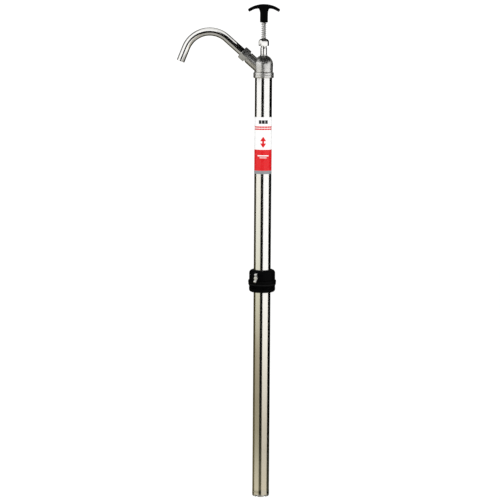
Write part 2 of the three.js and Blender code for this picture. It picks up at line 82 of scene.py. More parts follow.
# ---------- materials ----------
class Look:
    """A procedural material: one Principled shader, and short ways to feed it from texture nodes."""

    def __init__(self, name, coordinates, constants):
        self.material = bpy.data.materials.new(name)
        self.material.use_nodes = True
        self.tree = self.material.node_tree
        self.shader = self.tree.nodes["Principled BSDF"]
        self.on_surface = coordinates == "UV"
        self.place = self.tree.nodes.new("ShaderNodeTexCoord").outputs[coordinates]
        for socket, value in constants.items():
            self.shader.inputs[socket].default_value = value

    def add(self, kind, inputs, **settings):
        made = self.tree.nodes.new("ShaderNode" + kind)
        for key, value in settings.items():
            setattr(made, key, value)
        for key, value in inputs.items():
            if isinstance(value, bpy.types.NodeSocket):
                self.tree.links.new(value, made.inputs[key])
            else:
                made.inputs[key].default_value = value
        return made

    def noise(self, across, along=None, detail=3.0):
        """Noise with features so many millimetres across, drawn out lengthways when along is given."""
        wide = 1 / (across * MM)
        long = 1 / ((along or across) * MM)
        scale = (wide, long, wide) if self.on_surface else (wide, wide, long)
        place = self.add("Mapping", {"Vector": self.place, "Scale": scale}).outputs["Vector"]
        return self.add("TexNoise", {"Vector": place, "Scale": 1.0, "Detail": detail}).outputs["Fac"]

    def math(self, operation, a, b=0.0):
        return self.add("Math", {0: a, 1: b}, operation=operation).outputs[0]

    def remap(self, value, low, high, to_low, to_high):
        ends = {"From Min": low, "From Max": high, "To Min": to_low, "To Max": to_high}
        return self.add("MapRange", {"Value": value, **ends}).outputs["Result"]

    def blend(self, factor, first, second):
        colours = [c if isinstance(c, bpy.types.NodeSocket) else (*c, 1.0) for c in (first, second)]
        return self.add("Mix", {0: factor, 6: colours[0], 7: colours[1]}, data_type="RGBA").outputs[2]

    def feed(self, socket, value):
        self.tree.links.new(value, self.shader.inputs[socket])

    def bump(self, *layers):
        """Stacks (height, strength, depth in millimetres) layers of relief."""
        normal = None
        for height, strength, depth in layers:
            inputs = {"Height": height, "Strength": strength, "Distance": depth * MM}
            if normal is not None:
                inputs["Normal"] = normal
            normal = self.add("Bump", inputs).outputs["Normal"]
        self.feed("Normal", normal)


def polished_steel(coordinates):
    look = Look("polished_steel", coordinates, {"Metallic": 1.0})
    smudges = look.noise(45, detail=4.0)
    hairlines = look.noise(0.3, 60, detail=2.0)
    scratches = look.noise(0.8, 9, detail=5.0)
    look.feed("Base Color", look.blend(smudges, (0.86, 0.85, 0.825), (0.93, 0.925, 0.91)))
    sheen = look.remap(smudges, 0.3, 0.7, 0.10, 0.15)
    drawn = look.remap(hairlines, 0.35, 0.65, 0.0, 0.03)
    scored = look.remap(scratches, 0.62, 0.8, 0.0, 0.05)
    look.feed("Roughness", look.math("ADD", sheen, look.math("ADD", drawn, scored)))
    look.bump((hairlines, 0.01, 0.01))
    return look.material


def satin_steel(coordinates):
    look = Look("satin_steel", coordinates, {"Metallic": 1.0})
    cloud = look.noise(18, detail=4.0)
    grain = look.noise(0.25, 2.5, detail=3.0)
    pits = look.noise(1.2, detail=6.0)
    look.feed("Base Color", look.blend(cloud, (0.74, 0.74, 0.725), (0.80, 0.795, 0.78)))
    satin = look.remap(cloud, 0.3, 0.7, 0.31, 0.36)
    look.feed("Roughness", look.math("ADD", satin, look.remap(grain, 0.3, 0.7, 0.0, 0.04)))
    look.bump((grain, 0.015, 0.02), (look.remap(pits, 0.7, 0.85, 1.0, 0.0), 0.02, 0.02))
    return look.material


def black_plastic(coordinates):
    look = Look("black_plastic", coordinates, {"Specular IOR Level": 0.03})
    grain = look.noise(0.4, detail=4.0)
    flow = look.noise(14, 40, detail=2.0)
    scuffs = look.noise(1.5, 7, detail=6.0)
    tint = look.blend(flow, (0.0010, 0.0010, 0.0011), (0.0022, 0.0022, 0.0025))
    worn = look.remap(scuffs, 0.66, 0.78, 0.0, 0.5)
    look.feed("Base Color", look.blend(worn, tint, (0.012, 0.012, 0.013)))
    satin = look.remap(flow, 0.3, 0.7, 0.36, 0.46)
    look.feed("Roughness", look.math("ADD", satin, look.remap(scuffs, 0.5, 0.75, 0.0, 0.15)))
    look.bump((grain, 0.12, 0.05), (scuffs, 0.05, 0.05))
    return look.material


def black_rubber(coordinates):
    look = Look("black_rubber", coordinates, {"Specular IOR Level": 0.04})
    bloom = look.noise(6, detail=5.0)
    grain = look.noise(0.3, detail=3.0)
    look.feed("Base Color", look.blend(bloom, (0.003, 0.003, 0.0033), (0.008, 0.008, 0.008)))
    look.feed("Roughness", look.remap(bloom, 0.3, 0.7, 0.6, 0.82))
    look.bump((grain, 0.2, 0.05))
    return look.material


def ptfe(coordinates):
    look = Look("ptfe", coordinates, {"Subsurface Weight": 0.1, "Subsurface Scale": 0.002})
    turned = look.noise(30, 0.35, detail=1.0)
    stain = look.noise(7, detail=4.0)
    look.feed("Base Color", look.blend(stain, (0.86, 0.855, 0.83), (0.74, 0.73, 0.69)))
    look.feed("Roughness", look.remap(turned, 0.3, 0.7, 0.38, 0.52))
    look.bump((turned, 0.15, 0.04))
    return look.material


def brass(coordinates):
    look = Look("brass", coordinates, {"Metallic": 1.0})
    turned = look.noise(30, 0.3, detail=1.0)
    tarnish = look.noise(5, detail=5.0)
    look.feed("Base Color", look.blend(tarnish, (0.78, 0.58, 0.27), (0.56, 0.40, 0.18)))
    look.feed("Roughness", look.remap(tarnish, 0.3, 0.7, 0.2, 0.38))
    look.bump((turned, 0.2, 0.03))
    return look.material


class Print:
    """Masks for flat printing on the barrel's label, in millimetres round the front and up the barrel."""

    def __init__(self, look, radius):
        self.look = look
        parts = look.add("SeparateXYZ", {"Vector": look.place}).outputs
        angle = look.math("ARCTAN2", parts["X"], look.math("MULTIPLY", parts["Y"], -1.0))
        self.round = look.math("MULTIPLY", angle, radius)
        self.up = look.math("MULTIPLY", parts["Z"], 1 / MM)

    def within(self, value, middle, half, soft=0.06):
        """1 where the value is within half of the middle, with an edge of ink so soft."""
        off = self.look.math("ABSOLUTE", self.look.math("SUBTRACT", value, middle))
        return self.look.remap(off, half - soft, half + soft, 1.0, 0.0)

    def bar(self, centre, half_width, low, high):
        across = self.within(self.round, centre, half_width)
        return self.look.math("MULTIPLY", across, self.within(self.up, (low + high) / 2, (high - low) / 2))

    def band(self, low, high):
        return self.within(self.up, (low + high) / 2, (high - low) / 2)

    def triangle(self, base, point, half_width):
        """A triangle over the middle line, from its base's height to its point's."""
        low, high = min(base, point), max(base, point)
        widths = (half_width, 0.0) if base < point else (0.0, half_width)
        width = self.look.remap(self.up, low, high, *widths)
        inside = self.look.math("LESS_THAN", self.look.math("ABSOLUTE", self.round), width)
        return self.look.math("MULTIPLY", inside, self.band(low, high))

    def either(self, *masks):
        made = masks[0]
        for mask in masks[1:]:
            made = self.look.math("MAXIMUM", made, mask)
        return made


def printed_label():
    """White film printed with plain bars, a lift arrow, a red band and a grey band."""
    low, high = size("barrel_label")
    gloss = {"Specular IOR Level": 0.25, "Coat Weight": 0.12, "Coat Roughness": 0.12}
    look = Look("label_film", "Object", gloss)
    ink = Print(look, high.x)
    grey_top = low.z + 7.4
    red_top = low.z + 54.0
    arrow_low, arrow_high = red_top + 4, red_top + 29
    rows_low, row, row_step = red_top + 43.6, 3.2, 4.8
    mark_low, mark_high = red_top + 57.2, red_top + 65.2

    mark = ink.either(*[ink.bar(x, 3.1, mark_low, mark_high) for x in (-7.2, 0, 7.2)])
    gaps = look.math("LESS_THAN", look.math("PINGPONG", ink.round, 3.1), 2.9)
    rows = ink.either(*[ink.band(z, z + row) for z in (rows_low, rows_low + row_step)])
    rows = look.math("MULTIPLY", look.math("MULTIPLY", rows, gaps), ink.within(ink.round, 0, 25))
    arrow = ink.either(
        ink.triangle(arrow_high - 10, arrow_high, 7),
        ink.triangle(arrow_low + 10, arrow_low, 7),
        ink.bar(0, 2.2, arrow_low + 8, arrow_high - 8),
    )
    long_rule = ink.bar(0, 13, red_top - 14.6, red_top - 12.2)
    short_rule = ink.bar(0, 8, red_top - 18.6, red_top - 17.2)
    rules = ink.either(long_rule, short_rule)

    fading = look.noise(25, detail=3.0)
    scuffs = look.noise(0.7, 4, detail=6.0)
    paper = look.blend(fading, (0.90, 0.90, 0.895), (0.96, 0.96, 0.955))
    red = look.blend(fading, (0.66, 0.004, 0.008), (0.74, 0.007, 0.012))
    colour = look.blend(mark, paper, (0.012, 0.012, 0.014))
    colour = look.blend(ink.either(rows, arrow), colour, red)
    colour = look.blend(ink.band(grey_top, red_top), colour, red)
    colour = look.blend(rules, colour, paper)
    colour = look.blend(ink.band(low.z, grey_top), colour, (0.26, 0.27, 0.285))
    worn = look.remap(scuffs, 0.68, 0.8, 0.0, 0.4)
    look.feed("Base Color", look.blend(worn, colour, (0.7, 0.7, 0.69)))
    look.feed("Roughness", look.remap(fading, 0.3, 0.7, 0.24, 0.36))
    look.bump((look.noise(0.5, detail=3.0), 0.04, 0.03))
    return look.material


def finishes(coordinates):
    makers = (polished_steel, satin_steel, black_plastic, black_rubber, ptfe, brass)
    return {maker.__name__: maker(coordinates) for maker in makers}


ON_SURFACE = finishes("UV")  # for the pieces made here, which have UVs along their surface
IN_FRAME = finishes("Object")  # for the CAD nodes, which have none


# ---------- mesh making ----------
def mesh_from(bm, name, sharp=35):
    """A named mesh with outward faces, smooth except across edges sharper than so many degrees."""
    bmesh.ops.recalc_face_normals(bm, faces=bm.faces[:])
    mesh = bpy.data.meshes.new(name)
    bm.to_mesh(mesh)
    bm.free()
    return smoothed(mesh, sharp)


def smoothed(mesh, sharp=35):
    mesh.shade_smooth()
    mesh.set_sharp_from_angle(angle=math.radians(sharp))
    return mesh


def skin(name, rings, closed=True, sharp=35):
    """A mesh through rings of points in millimetres, each a whole turn or a single point.

    The rings close on each other, or the first and the last ring are capped.
    UVs are metres along the surface.
    """
    rings = [[Vector(point) * MM for point in ring] for ring in rings]
    turn = max(len(ring) for ring in rings)
    widest = max(rings, key=lambda ring: (len(ring), (ring[0] - ring[len(ring) // 2]).length))
    around = sum((a - b).length for a, b in zip(widest, widest[1:] + widest[:1]))
    along = [0.0]
    for before, after in zip(rings, rings[1:] + rings[:1]):
        along.append(along[-1] + (after[0] - before[0]).length)

    bm = bmesh.new()
    surface = bm.loops.layers.uv.new("surface")
    made = [[bm.verts.new(point) for point in ring] for ring in rings]
    for row in range(len(rings) if closed else len(rings) - 1):
        lower, upper = made[row], made[(row + 1) % len(made)]
        for k in range(turn):
            corners, places = [], []
            below = [(lower, k, row), (lower, k + 1, row)]
            above = [(upper, k + 1, row + 1), (upper, k, row + 1)]
            for ring, column, step in below + above:
                vertex = ring[column % len(ring)]
                if vertex not in corners:
                    corners.append(vertex)
                    places.append((column / turn * around, along[step]))
            if len(corners) > 2:
                for loop, place in zip(bm.faces.new(corners).loops, places):
                    loop[surface].uv = place
    if not closed:
        for ring in (made[0], made[-1]):
            if len(ring) > 2:
                bm.faces.new(ring)
    return mesh_from(bm, name, sharp)


def filleted(corners, steps=5):
    """Outline points from (radius, z, round) corners of a closed outline."""
    points = []
    for i, (r, z, size_of_round) in enumerate(corners):
        corner = Vector((r, z))
        if not size_of_round:
            points.append(corner)
            continue
        before = (Vector(corners[i - 1][:2]) - corner).normalized() * size_of_round
        after = (Vector(corners[(i + 1) % len(corners)][:2]) - corner).normalized() * size_of_round
        for step in range(steps + 1):
            t = step / steps
            points.append(corner + before * (1 - t) ** 2 + after * t ** 2)
    return points


def split(points, longest, wanted):
    """The closed outline with its long edges divided wherever wanted(radius, z) holds."""
    made = []
    for here, after in zip(points, points[1:] + points[:1]):
        made.append(here)
        middle = (here + after) / 2
        if wanted(middle.x, middle.y):
            pieces = math.ceil((after - here).length / longest)
            made.extend(here.lerp(after, i / pieces) for i in range(1, pieces))
    return made


def lathe(name, points, relief=None, turn=FINE, sharp=35):
    """A closed solid of revolution about +Z. relief(angle, radius, z) may give each point another radius."""
    rings = []
    for r, z in points:
        if r < 1e-6:
            rings.append([(0, 0, z)])
            continue
        ring = []
        for k in range(turn):
            angle = TURN * k / turn
            radius = relief(angle, r, z) if relief else r
            ring.append((radius * math.cos(angle), radius * math.sin(angle), z))
        rings.append(ring)
    return skin(name, rings, sharp=sharp)


def cylinder(radius, low, high, turn=FINE):
    corners = ((0, low), (radius, low), (radius, high), (0, high))
    return lathe("tool", [Vector(corner) for corner in corners], turn=turn)


def block(centre, extent):
    bm = bmesh.new()
    bmesh.ops.create_cube(bm, size=MM)
    bmesh.ops.scale(bm, verts=bm.verts[:], vec=extent)
    bmesh.ops.translate(bm, verts=bm.verts[:], vec=Vector(centre) * MM)
    return mesh_from(bm, "tool")


def placed(mesh, matrix):
    mesh.transform(matrix)
    return mesh


def modified(mesh, kind, **settings):
    """The mesh after one modifier."""
    holder = bpy.data.objects.new("holder", mesh)
    bpy.context.scene.collection.objects.link(holder)
    modifier = holder.modifiers.new("step", kind)
    for key, value in settings.items():
        setattr(modifier, key, value)
    graph = bpy.context.evaluated_depsgraph_get()
    made = bpy.data.meshes.new_from_object(holder.evaluated_get(graph))
    bpy.data.objects.remove(holder)
    return made


def combined(operation, mesh, *others):
    for other in others:
        tool = bpy.data.objects.new("tool", other)
        bpy.context.scene.collection.objects.link(tool)
        mesh = modified(mesh, "BOOLEAN", object=tool, operation=operation, solver="EXACT")
        bpy.data.objects.remove(tool)
    return smoothed(mesh)


def eased(mesh, width, angle=28, segments=2):
    """The mesh with its sharp edges rounded over so many millimetres."""
    limit = {"limit_method": "ANGLE", "angle_limit": math.radians(angle)}
    soft = modified(mesh, "BEVEL", width=width * MM, segments=segments, use_clamp_overlap=True, **limit)
    return smoothed(soft, 32)


def plate(name, outline, depth, round_over, steps=6):
    """A plate in the XZ plane, so deep along Y. The outline grows outwards by the round of its edges."""
    count = len(outline)
    normals = []
    for i in range(count):
        run = outline[(i + 1) % count] - outline[i - 1]
        normals.append(Vector((run.y, -run.x)).normalized())
    rings = []
    for side in (-1, 1):
        for step in range(steps + 1):
            lean = math.pi / 2 * (step if side < 0 else steps - step) / steps
            grown = round_over * math.sin(lean)
            y = side * (depth / 2 - round_over * (1 - math.cos(lean)))
            points = [p + n * grown for p, n in zip(outline, normals)]
            rings.append([(p.x, y, p.y) for p in points])
    return skin(name, rings, closed=False)


def arc(centre, radius, start, end, steps):
    """Points on an arc about centre, from one angle to another in degrees."""
    angles = [math.radians(start + (end - start) * i / steps) for i in range(steps + 1)]
    return [Vector((centre[0] + radius * math.cos(a), centre[1] + radius * math.sin(a))) for a in angles]


def bent(start, control, end, steps=10):
    """Points on a quadratic curve."""
    start, control, end = Vector(start), Vector(control), Vector(end)
    spots = [i / steps for i in range(steps + 1)]
    return [start * (1 - t) ** 2 + control * 2 * t * (1 - t) + end * t ** 2 for t in spots]


def show(mesh, name, body, slot, *nodes, material=None):
    """Makes the mesh a piece on a body, in a finish of the record's, in place of CAD nodes."""
    piece = bpy.data.objects.new(name, mesh)
    bpy.context.scene.collection.objects.link(piece)
    mesh.name = name
    mesh.materials.clear()
    mesh.materials.append(material or ON_SURFACE[slot])
    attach(piece, body)
    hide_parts(*nodes)
    return piece


# ---------- barrel, label and foot ----------
def barrel_tube():
    """The barrel, swelled a little at its foot, with three crimps that hold the foot valve."""
    low, high = size("pump_barrel")
    radius, swell = BARREL["radius"], BARREL["swell"]
    bore = radius - BARREL["wall"]
    crimp = {"z": low.z + 6, "reach": 2.4, "depth": 0.8, "step": TURN / 3}
    points = filleted([
        (bore, low.z, 0.3),
        (radius + swell, low.z, 0.4),
        (radius + swell, low.z + 3, 3),
        (radius, low.z + 9, 3),
        (radius, high.z, 0.3),
        (bore, high.z, 0.3),
    ])
    points = split(points, 0.6, lambda r, z: abs(z - crimp["z"]) < 2.4 * crimp["reach"])
    points = split(points, 60, lambda r, z: True)

    def crimped(angle, r, z):
        step = crimp["step"]
        off = (angle - TURN / 4 + step / 2) % step - step / 2
        distance = math.hypot(off * r, z - crimp["z"]) / crimp["reach"]
        return r - crimp["depth"] * math.exp(-(distance ** 4))

    return lathe("barrel_tube", points, crimped, turn=192)


def label_film():
    low, high = size("barrel_label")
    inner = BARREL["radius"] + 0.05
    points = filleted([(inner, low.z, 0), (high.x, low.z, 0.12), (high.x, high.z, 0.12), (inner, high.z, 0)])
    return lathe("label_film", split(points, 12, lambda r, z: True))


def foot_rim():
    """The foot valve's body: a seat inside the barrel, and a slotted rim that stands proud of its end."""
    low, high = size("foot_valve_body")
    radius = high.x
    inlet, chamber, inside = 9, 13, 17.7
    barrel_end = size("pump_barrel")[0].z - 0.3
    groove = {"radius": 15.5, "low": -467.6, "high": -464.4}
    seat_low, seat_high = -474, -468
    slot = {"width": 5, "depth": 4}
    body = lathe("foot_rim", filleted([
        (inlet, low.z, 0.8),
        (radius, low.z, 1.2),
        (radius, barrel_end, 0.4),
        (inside, barrel_end, 0),
        (inside, groove["low"], 0.2),
        (groove["radius"], groove["low"], 0.3),
        (groove["radius"], groove["high"], 0.3),
        (inside, groove["high"], 0.2),
        (inside, high.z, 0.5),
        (chamber, high.z, 0.4),
        (chamber, seat_high, 0.4),
        (inlet, seat_low, 0.6),
    ]))
    slots = [block((0, 0, low.z), (60, slot["width"], 2 * slot["depth"])) for _ in range(3)]
    for i, cutter in enumerate(slots):
        cutter.transform(Matrix.Rotation(math.pi * i / 3, 4, "Z"))
    return eased(combined("DIFFERENCE", body, *slots), 0.35)


show(barrel_tube(), "barrel_tube", "pump", "polished_steel", "pump_barrel")
LABEL = printed_label()
IN_FRAME["label_film"] = LABEL
show(label_film(), "label_wrap", "pump", "label_film", "barrel_label", material=LABEL)
show(foot_rim(), "foot_rim", "pump", "satin_steel", "foot_valve_body")


# ---------- head and gland ----------
ARM_PLACE = (
    Matrix.Translation((0, 0, ARM["origin"] * MM))
    @ Matrix.Rotation(math.radians(ARM["slope"] - 90), 4, "Y")
)


def head_casting():
    """A dome over a rolled ring, and the inclined arm that grows out of it."""
    low = size("pump_head")[0].z
    dome, centre, ring = HEAD["dome"], HEAD["centre"], HEAD["ring"]
    ring_top = low + 12.8
    groove = (low + ring_top) / 2
    shell = filleted([
        (0, low, 0),
        (ring, low, 1.8),
        (ring, groove - 0.5, 0.3),
        (ring - 0.35, groove, 0.2),
        (ring, groove + 0.5, 0.3),
        (ring, ring_top - 0.6, 1.6),
        (dome - 0.5, ring_top - 0.2, 0.5),
        (dome, ring_top + 1.2, 0.6),
    ])
    shell += arc((0, centre), dome, 0, math.degrees(math.acos(HEAD["boss"] / dome)), 28)
    shell += [Vector((HEAD["boss"], centre + dome)), Vector((0, centre + dome))]
    inside_dome = 10
    arm = placed(cylinder(ARM["radius"], inside_dome, ARM["shoulder"] - 0.5), ARM_PLACE)
    nipple = placed(cylinder(ARM["nipple"], inside_dome, ARM["end"]), ARM_PLACE)
    return combined("UNION", lathe("head_casting", shell), arm, nipple)


def head():
    """The casting, bored for the barrel, the gland neck and the arm's waterway."""
    low, high = size("pump_head")
    cavity = HEAD["dome"] - HEAD["wall"]
    barrel_top = size("pump_barrel")[1].z
    socket = cylinder(BARREL["radius"] + 0.2, low.z - 1, barrel_top + 0.3)
    room = [Vector((0, barrel_top)), Vector((cavity, barrel_top))]
    room += arc((0, HEAD["centre"]), cavity, 0, 90, 12)
    neck_hole = cylinder(NECK["hole"], HEAD["centre"], high.z + 1)
    waterway = placed(cylinder(ARM["bore"], 8, ARM["end"] + 1), ARM_PLACE)
    bored = combined("DIFFERENCE", head_casting(), socket, lathe("room", room), neck_hole, waterway)
    return eased(bored, 0.45, angle=38, segments=3)


def gland_neck():
    """The stuffing box, threaded at both ends, with a relief groove under the upper thread."""
    low, high = size("gland_neck")
    head_top = HEAD["centre"] + HEAD["dome"] + 0.6
    thread, relief, relief_low, bore = NECK["thread"], NECK["relief"], NECK["relief_low"], NECK["bore"]
    packing, packing_low = PACKING["radius"], PACKING["low"]
    radius = high.x
    return lathe("gland_neck", filleted([
        (bore, low.z, 0.2),
        (thread, low.z, 0.3),
        (thread, head_top, 0.1),
        (radius, head_top, 0.4),
        (radius, relief_low, 0.4),
        (relief, relief_low, 0.3),
        (relief, relief_low + 2.6, 0.3),
        (thread, relief_low + 3.2, 0.1),
        (thread, high.z, 0.4),
        (packing, high.z, 0.2),
        (packing, packing_low, 0),
        (bore, packing_low, 0),
    ]))


def hexagon(across, low, high, turn):
    """A hexagonal bar along +Z, between two heights."""
    corner = across / math.sqrt(3)
    angles = [TURN * k / 6 + math.radians(turn) for k in range(6)]
    rings = [[(corner * math.cos(a), corner * math.sin(a), z) for a in angles] for z in (low, high)]
    return skin("hexagon", rings, closed=False)


def gland_nut():
    """A hexagonal nut with a domed top."""
    low, high = size("gland_nut")
    across, turn = 20.6, 14
    corner = across / math.sqrt(3)
    flat_top = 5.9
    thread_top = 543.3
    dome = [Vector((0, low.z)), Vector((corner - 1.2, low.z)), Vector((corner + 0.1, low.z + 0.9))]
    dome += bent((corner + 0.1, high.z - 6.4), (corner - 1.6, high.z - 1), (flat_top, high.z), 12)
    dome += [Vector((0, high.z))]
    body = combined("INTERSECT", hexagon(across, low.z, high.z, turn), lathe("dome", dome))
    thread = cylinder(NECK["hole"], low.z - 1, thread_top)
    rod_hole = cylinder(ROD["radius"] + 0.35, low.z, high.z + 1)
    return eased(combined("DIFFERENCE", body, thread, rod_hole), 0.3, segments=3)


def spout_nut():
    """The union nut on the arm, chamfered at both ends."""
    across, turn, back, front = 27, 20.4, 48.3, 64.2
    corner = across / math.sqrt(3)
    envelope = filleted([
        (0, back, 0),
        (corner - 1.6, back, 0.6),
        (corner + 0.1, back + 1.1, 0),
        (corner + 0.1, front - 1.8, 0),
        (corner - 2.6, front, 0.8),
        (0, front, 0),
    ])
    body = combined("INTERSECT", hexagon(across, back, front, turn), lathe("envelope", envelope))
    thread = cylinder(ARM["nipple"] + 0.2, back - 1, front - 2.6)
    spout_hole = cylinder(SPOUT["radius"] + 0.35, back, front + 1)
    bored = combined("DIFFERENCE", body, thread, spout_hole)
    return placed(eased(bored, 0.35, segments=3), ARM_PLACE)


def buffer_spring():
    """A coil spring with closed ends, as a wire swept up a helix whose pitch tightens at both ends."""
    low, high = size("buffer_spring")
    wire, mean, end_pitch, pitch = 0.65, 4.85, 1.5, 4.4
    rise = high.z - low.z - 2 * wire
    working = (rise - 2 * end_pitch) / pitch
    turns = working + 2
    steps_per_turn, around_wire = 40, 14
    steps = math.ceil(turns * steps_per_turn)
    section = [TURN * k / around_wire for k in range(around_wire)]

    def centre(i):
        turn = turns * i / steps
        first = min(turn, 1)
        middle = min(max(turn - 1, 0), working)
        last = max(turn - 1 - working, 0)
        height = first * end_pitch + middle * pitch + last * end_pitch
        angle = TURN * turn
        return Vector((mean * math.cos(angle), mean * math.sin(angle), low.z + wire + height))

    rings = []
    for i in range(steps + 1):
        here = centre(i)
        tangent = (centre(min(i + 1, steps)) - centre(max(i - 1, 0))).normalized()
        outward = Vector((here.x, here.y, 0)).normalized()
        upward = tangent.cross(outward)
        tip = 0.75 if i in (0, steps) else 1
        spokes = [outward * math.cos(a) + upward * math.sin(a) for a in section]
        rings.append([here + spoke * wire * tip for spoke in spokes])
    return skin("buffer_coil", rings, closed=False, sharp=50)


show(head(), "head_dome", "pump", "satin_steel", "pump_head")
show(gland_neck(), "gland_tube", "pump", "polished_steel", "gland_neck")
show(gland_nut(), "gland_cap_nut", "gland", "polished_steel", "gland_nut")
show(spout_nut(), "spout_union_nut", "spout_union", "satin_steel", "spout_nut")
show(buffer_spring(), "buffer_coil", "pump", "polished_steel", "buffer_spring")


# ---------- spout ----------
def spout_frame(distance):
    """Centre and in-plane normal of the spout, so far along it in the arm's frame."""
    bend, straight = SPOUT["bend"], SPOUT["straight"]
    bend_length = bend * math.radians(SPOUT["turn"])
    turn = min(max(distance - straight, 0), bend_length) / bend
    past = max(distance - straight - bend_length, 0)
    before = max(straight - distance, 0)
    x = -bend * (1 - math.cos(turn)) - past * math.sin(turn)
    z = straight - before + bend * math.sin(turn) + past * math.cos(turn)
    return Vector((x, 0, z)), Vector((math.cos(turn), 0, math.sin(turn)))


def spout_tube():
    """The swan-neck tube, hollow, with rounded lips."""
    radius, start, straight = SPOUT["radius"], SPOUT["start"], SPOUT["straight"]
    inner = radius - SPOUT["wall"]
    length = straight + SPOUT["bend"] * math.radians(SPOUT["turn"]) + SPOUT["tip"]
    lip = 0.35
    bend_steps, around = 56, 72
    bend_end = length - SPOUT["tip"]
    bend = [straight + (bend_end - straight) * i / bend_steps for i in range(bend_steps + 1)]
    before = [start + 10 * i for i in range(1, 5)]
    stations = [start + lip, *before, *bend, length - SPOUT["tip"] / 2, length - lip]
    angles = [TURN * k / around for k in range(around)]
    path = [(start, radius - lip)]
    path += [(station, radius) for station in stations]
    path += [(length, radius - lip), (length, inner + lip)]
    path += [(station, inner) for station in reversed(stations)]
    path += [(start, inner + lip)]
    rings = []
    for distance, r in path:
        centre, normal = spout_frame(distance)
        offsets = [normal * r * math.cos(a) + Vector((0, r * math.sin(a), 0)) for a in angles]
        rings.append([centre + offset for offset in offsets])
    return placed(skin("spout_pipe", rings), ARM_PLACE)


show(spout_tube(), "spout_pipe", "spout", "polished_steel", "spout_tube")


# ---------- rod and handle ----------
def rod():
    """The pump rod, with a thinner journal for the piston and a hole for the valve stop's pin."""
    low, high = size("pump_rod")
    journal, radius, shoulder = ROD["journal"], ROD["radius"], ROD["shoulder"]
    bar = lathe("rod", filleted([
        (0, low.z, 0),
        (journal, low.z, 0.5),
        (journal, shoulder, 0.1),
        (radius, shoulder, 0.3),
        (radius, high.z, 0.4),
        (0, high.z, 0),
    ]), turn=64)
    pin_low, pin_high = size("valve_stop_pin")
    pin_middle = Vector((0, 0, (pin_low.z + pin_high.z) / 2)) * MM
    crosswise = Matrix.Translation(pin_middle) @ Matrix.Rotation(math.pi / 2, 4, "Y")
    pin_hole = 1.4
    return combined("DIFFERENCE", bar, placed(cylinder(pin_hole, -15, 15, 32), crosswise))


def handle_wing(high):
    """The arched wing, with drooping, rounded tips and fillets into the hub."""
    edge = WING["round"]
    crown = high - WING["arc"]
    radius = WING["arc"] - edge
    tip_x = WING["half_span"] - edge
    tip_z = crown + math.sqrt(radius ** 2 - tip_x ** 2)
    tip_angle = math.degrees(math.asin((tip_z - crown) / radius))
    tip_gap = 0.8
    under = WING["under"] + edge
    nose, droop = 0.4, 2.1
    bow, fillet_end = 22, 13.5

    right_nose = arc((tip_x - nose, tip_z - nose), nose, -80, 30, 5)
    left_under = bent((nose - tip_x, tip_z - droop), (-bow, under), (-fillet_end, under), 12)
    left_nose = [Vector((-p.x, p.y)) for p in reversed(right_nose)]
    right_under = [Vector((-p.x, p.y)) for p in reversed(left_under)]
    top = arc((0, crown), radius, tip_angle + tip_gap, 180 - tip_gap - tip_angle, 44)
    outline = top + left_nose + left_under + right_under + right_nose
    return plate("wing", outline, WING["depth"], edge, 7)


def handle_hub(low):
    """The round hub, with a rounded foot and a flare that reaches into the wing."""
    radius, under = HUB["radius"], WING["under"]
    flare_low, flare_high = under - HUB["flare_height"], under + HUB["sunk"]
    straight_low = low + 1.6
    rounded_foot = [(low, 1.4), (low + 0.2, 0.8), (low + 0.7, 0.25), (straight_low, 0)]
    straight = [(straight_low + (flare_low - straight_low) * i / 4, 0) for i in range(1, 5)]
    rings = [(z, radius - inset, radius - inset) for z, inset in rounded_foot + straight]
    flare = bent((radius, flare_low), (radius, under + 0.5), (HUB["flare"], flare_high), 12)
    for p in flare[1:]:
        share = (p.y - flare_low) / (flare_high - flare_low)
        rings.append((p.y, p.x, radius + HUB["deeper"] * share))
    rings.append((under + 4, 6, 6))
    angles = [TURN * k / FINE for k in range(FINE)]
    skinned = [[(wide * math.cos(a), deep * math.sin(a), z) for a in angles] for z, wide, deep in rings]
    return skin("hub", skinned, closed=False)


def handle():
    """The moulded T-handle, bored for the rod and its threaded insert."""
    low, high = size("handle_grip")
    rod_top = size("pump_rod")[1].z + 0.3
    insert_low = size("handle_insert")[0].z - 0.3
    grip = combined("UNION", handle_wing(high.z), handle_hub(low.z))
    rod_hole = cylinder(ROD["radius"] + 0.2, low.z - 1, rod_top)
    insert_hole = cylinder(5.9, insert_low, rod_top)
    return smoothed(combined("DIFFERENCE", grip, rod_hole, insert_hole), 40)


show(rod(), "rod_bar", "handle_and_rod", "polished_steel", "pump_rod")
show(handle(), "t_handle", "handle_and_rod", "black_plastic", "handle_grip")


# ---------- bung adapter ----------
SCREW_PLACE = (
    Matrix.Translation((0, 0, SCREW["height"] * MM))
    @ Matrix.Rotation(math.radians(-90 - SCREW["turn"]), 4, "Z")
    @ Matrix.Rotation(math.pi / 2, 4, "Y")
)


def screw_hole():
    return placed(cylinder(SCREW["shank"] + 0.35, 10, 40, 32), SCREW_PLACE)


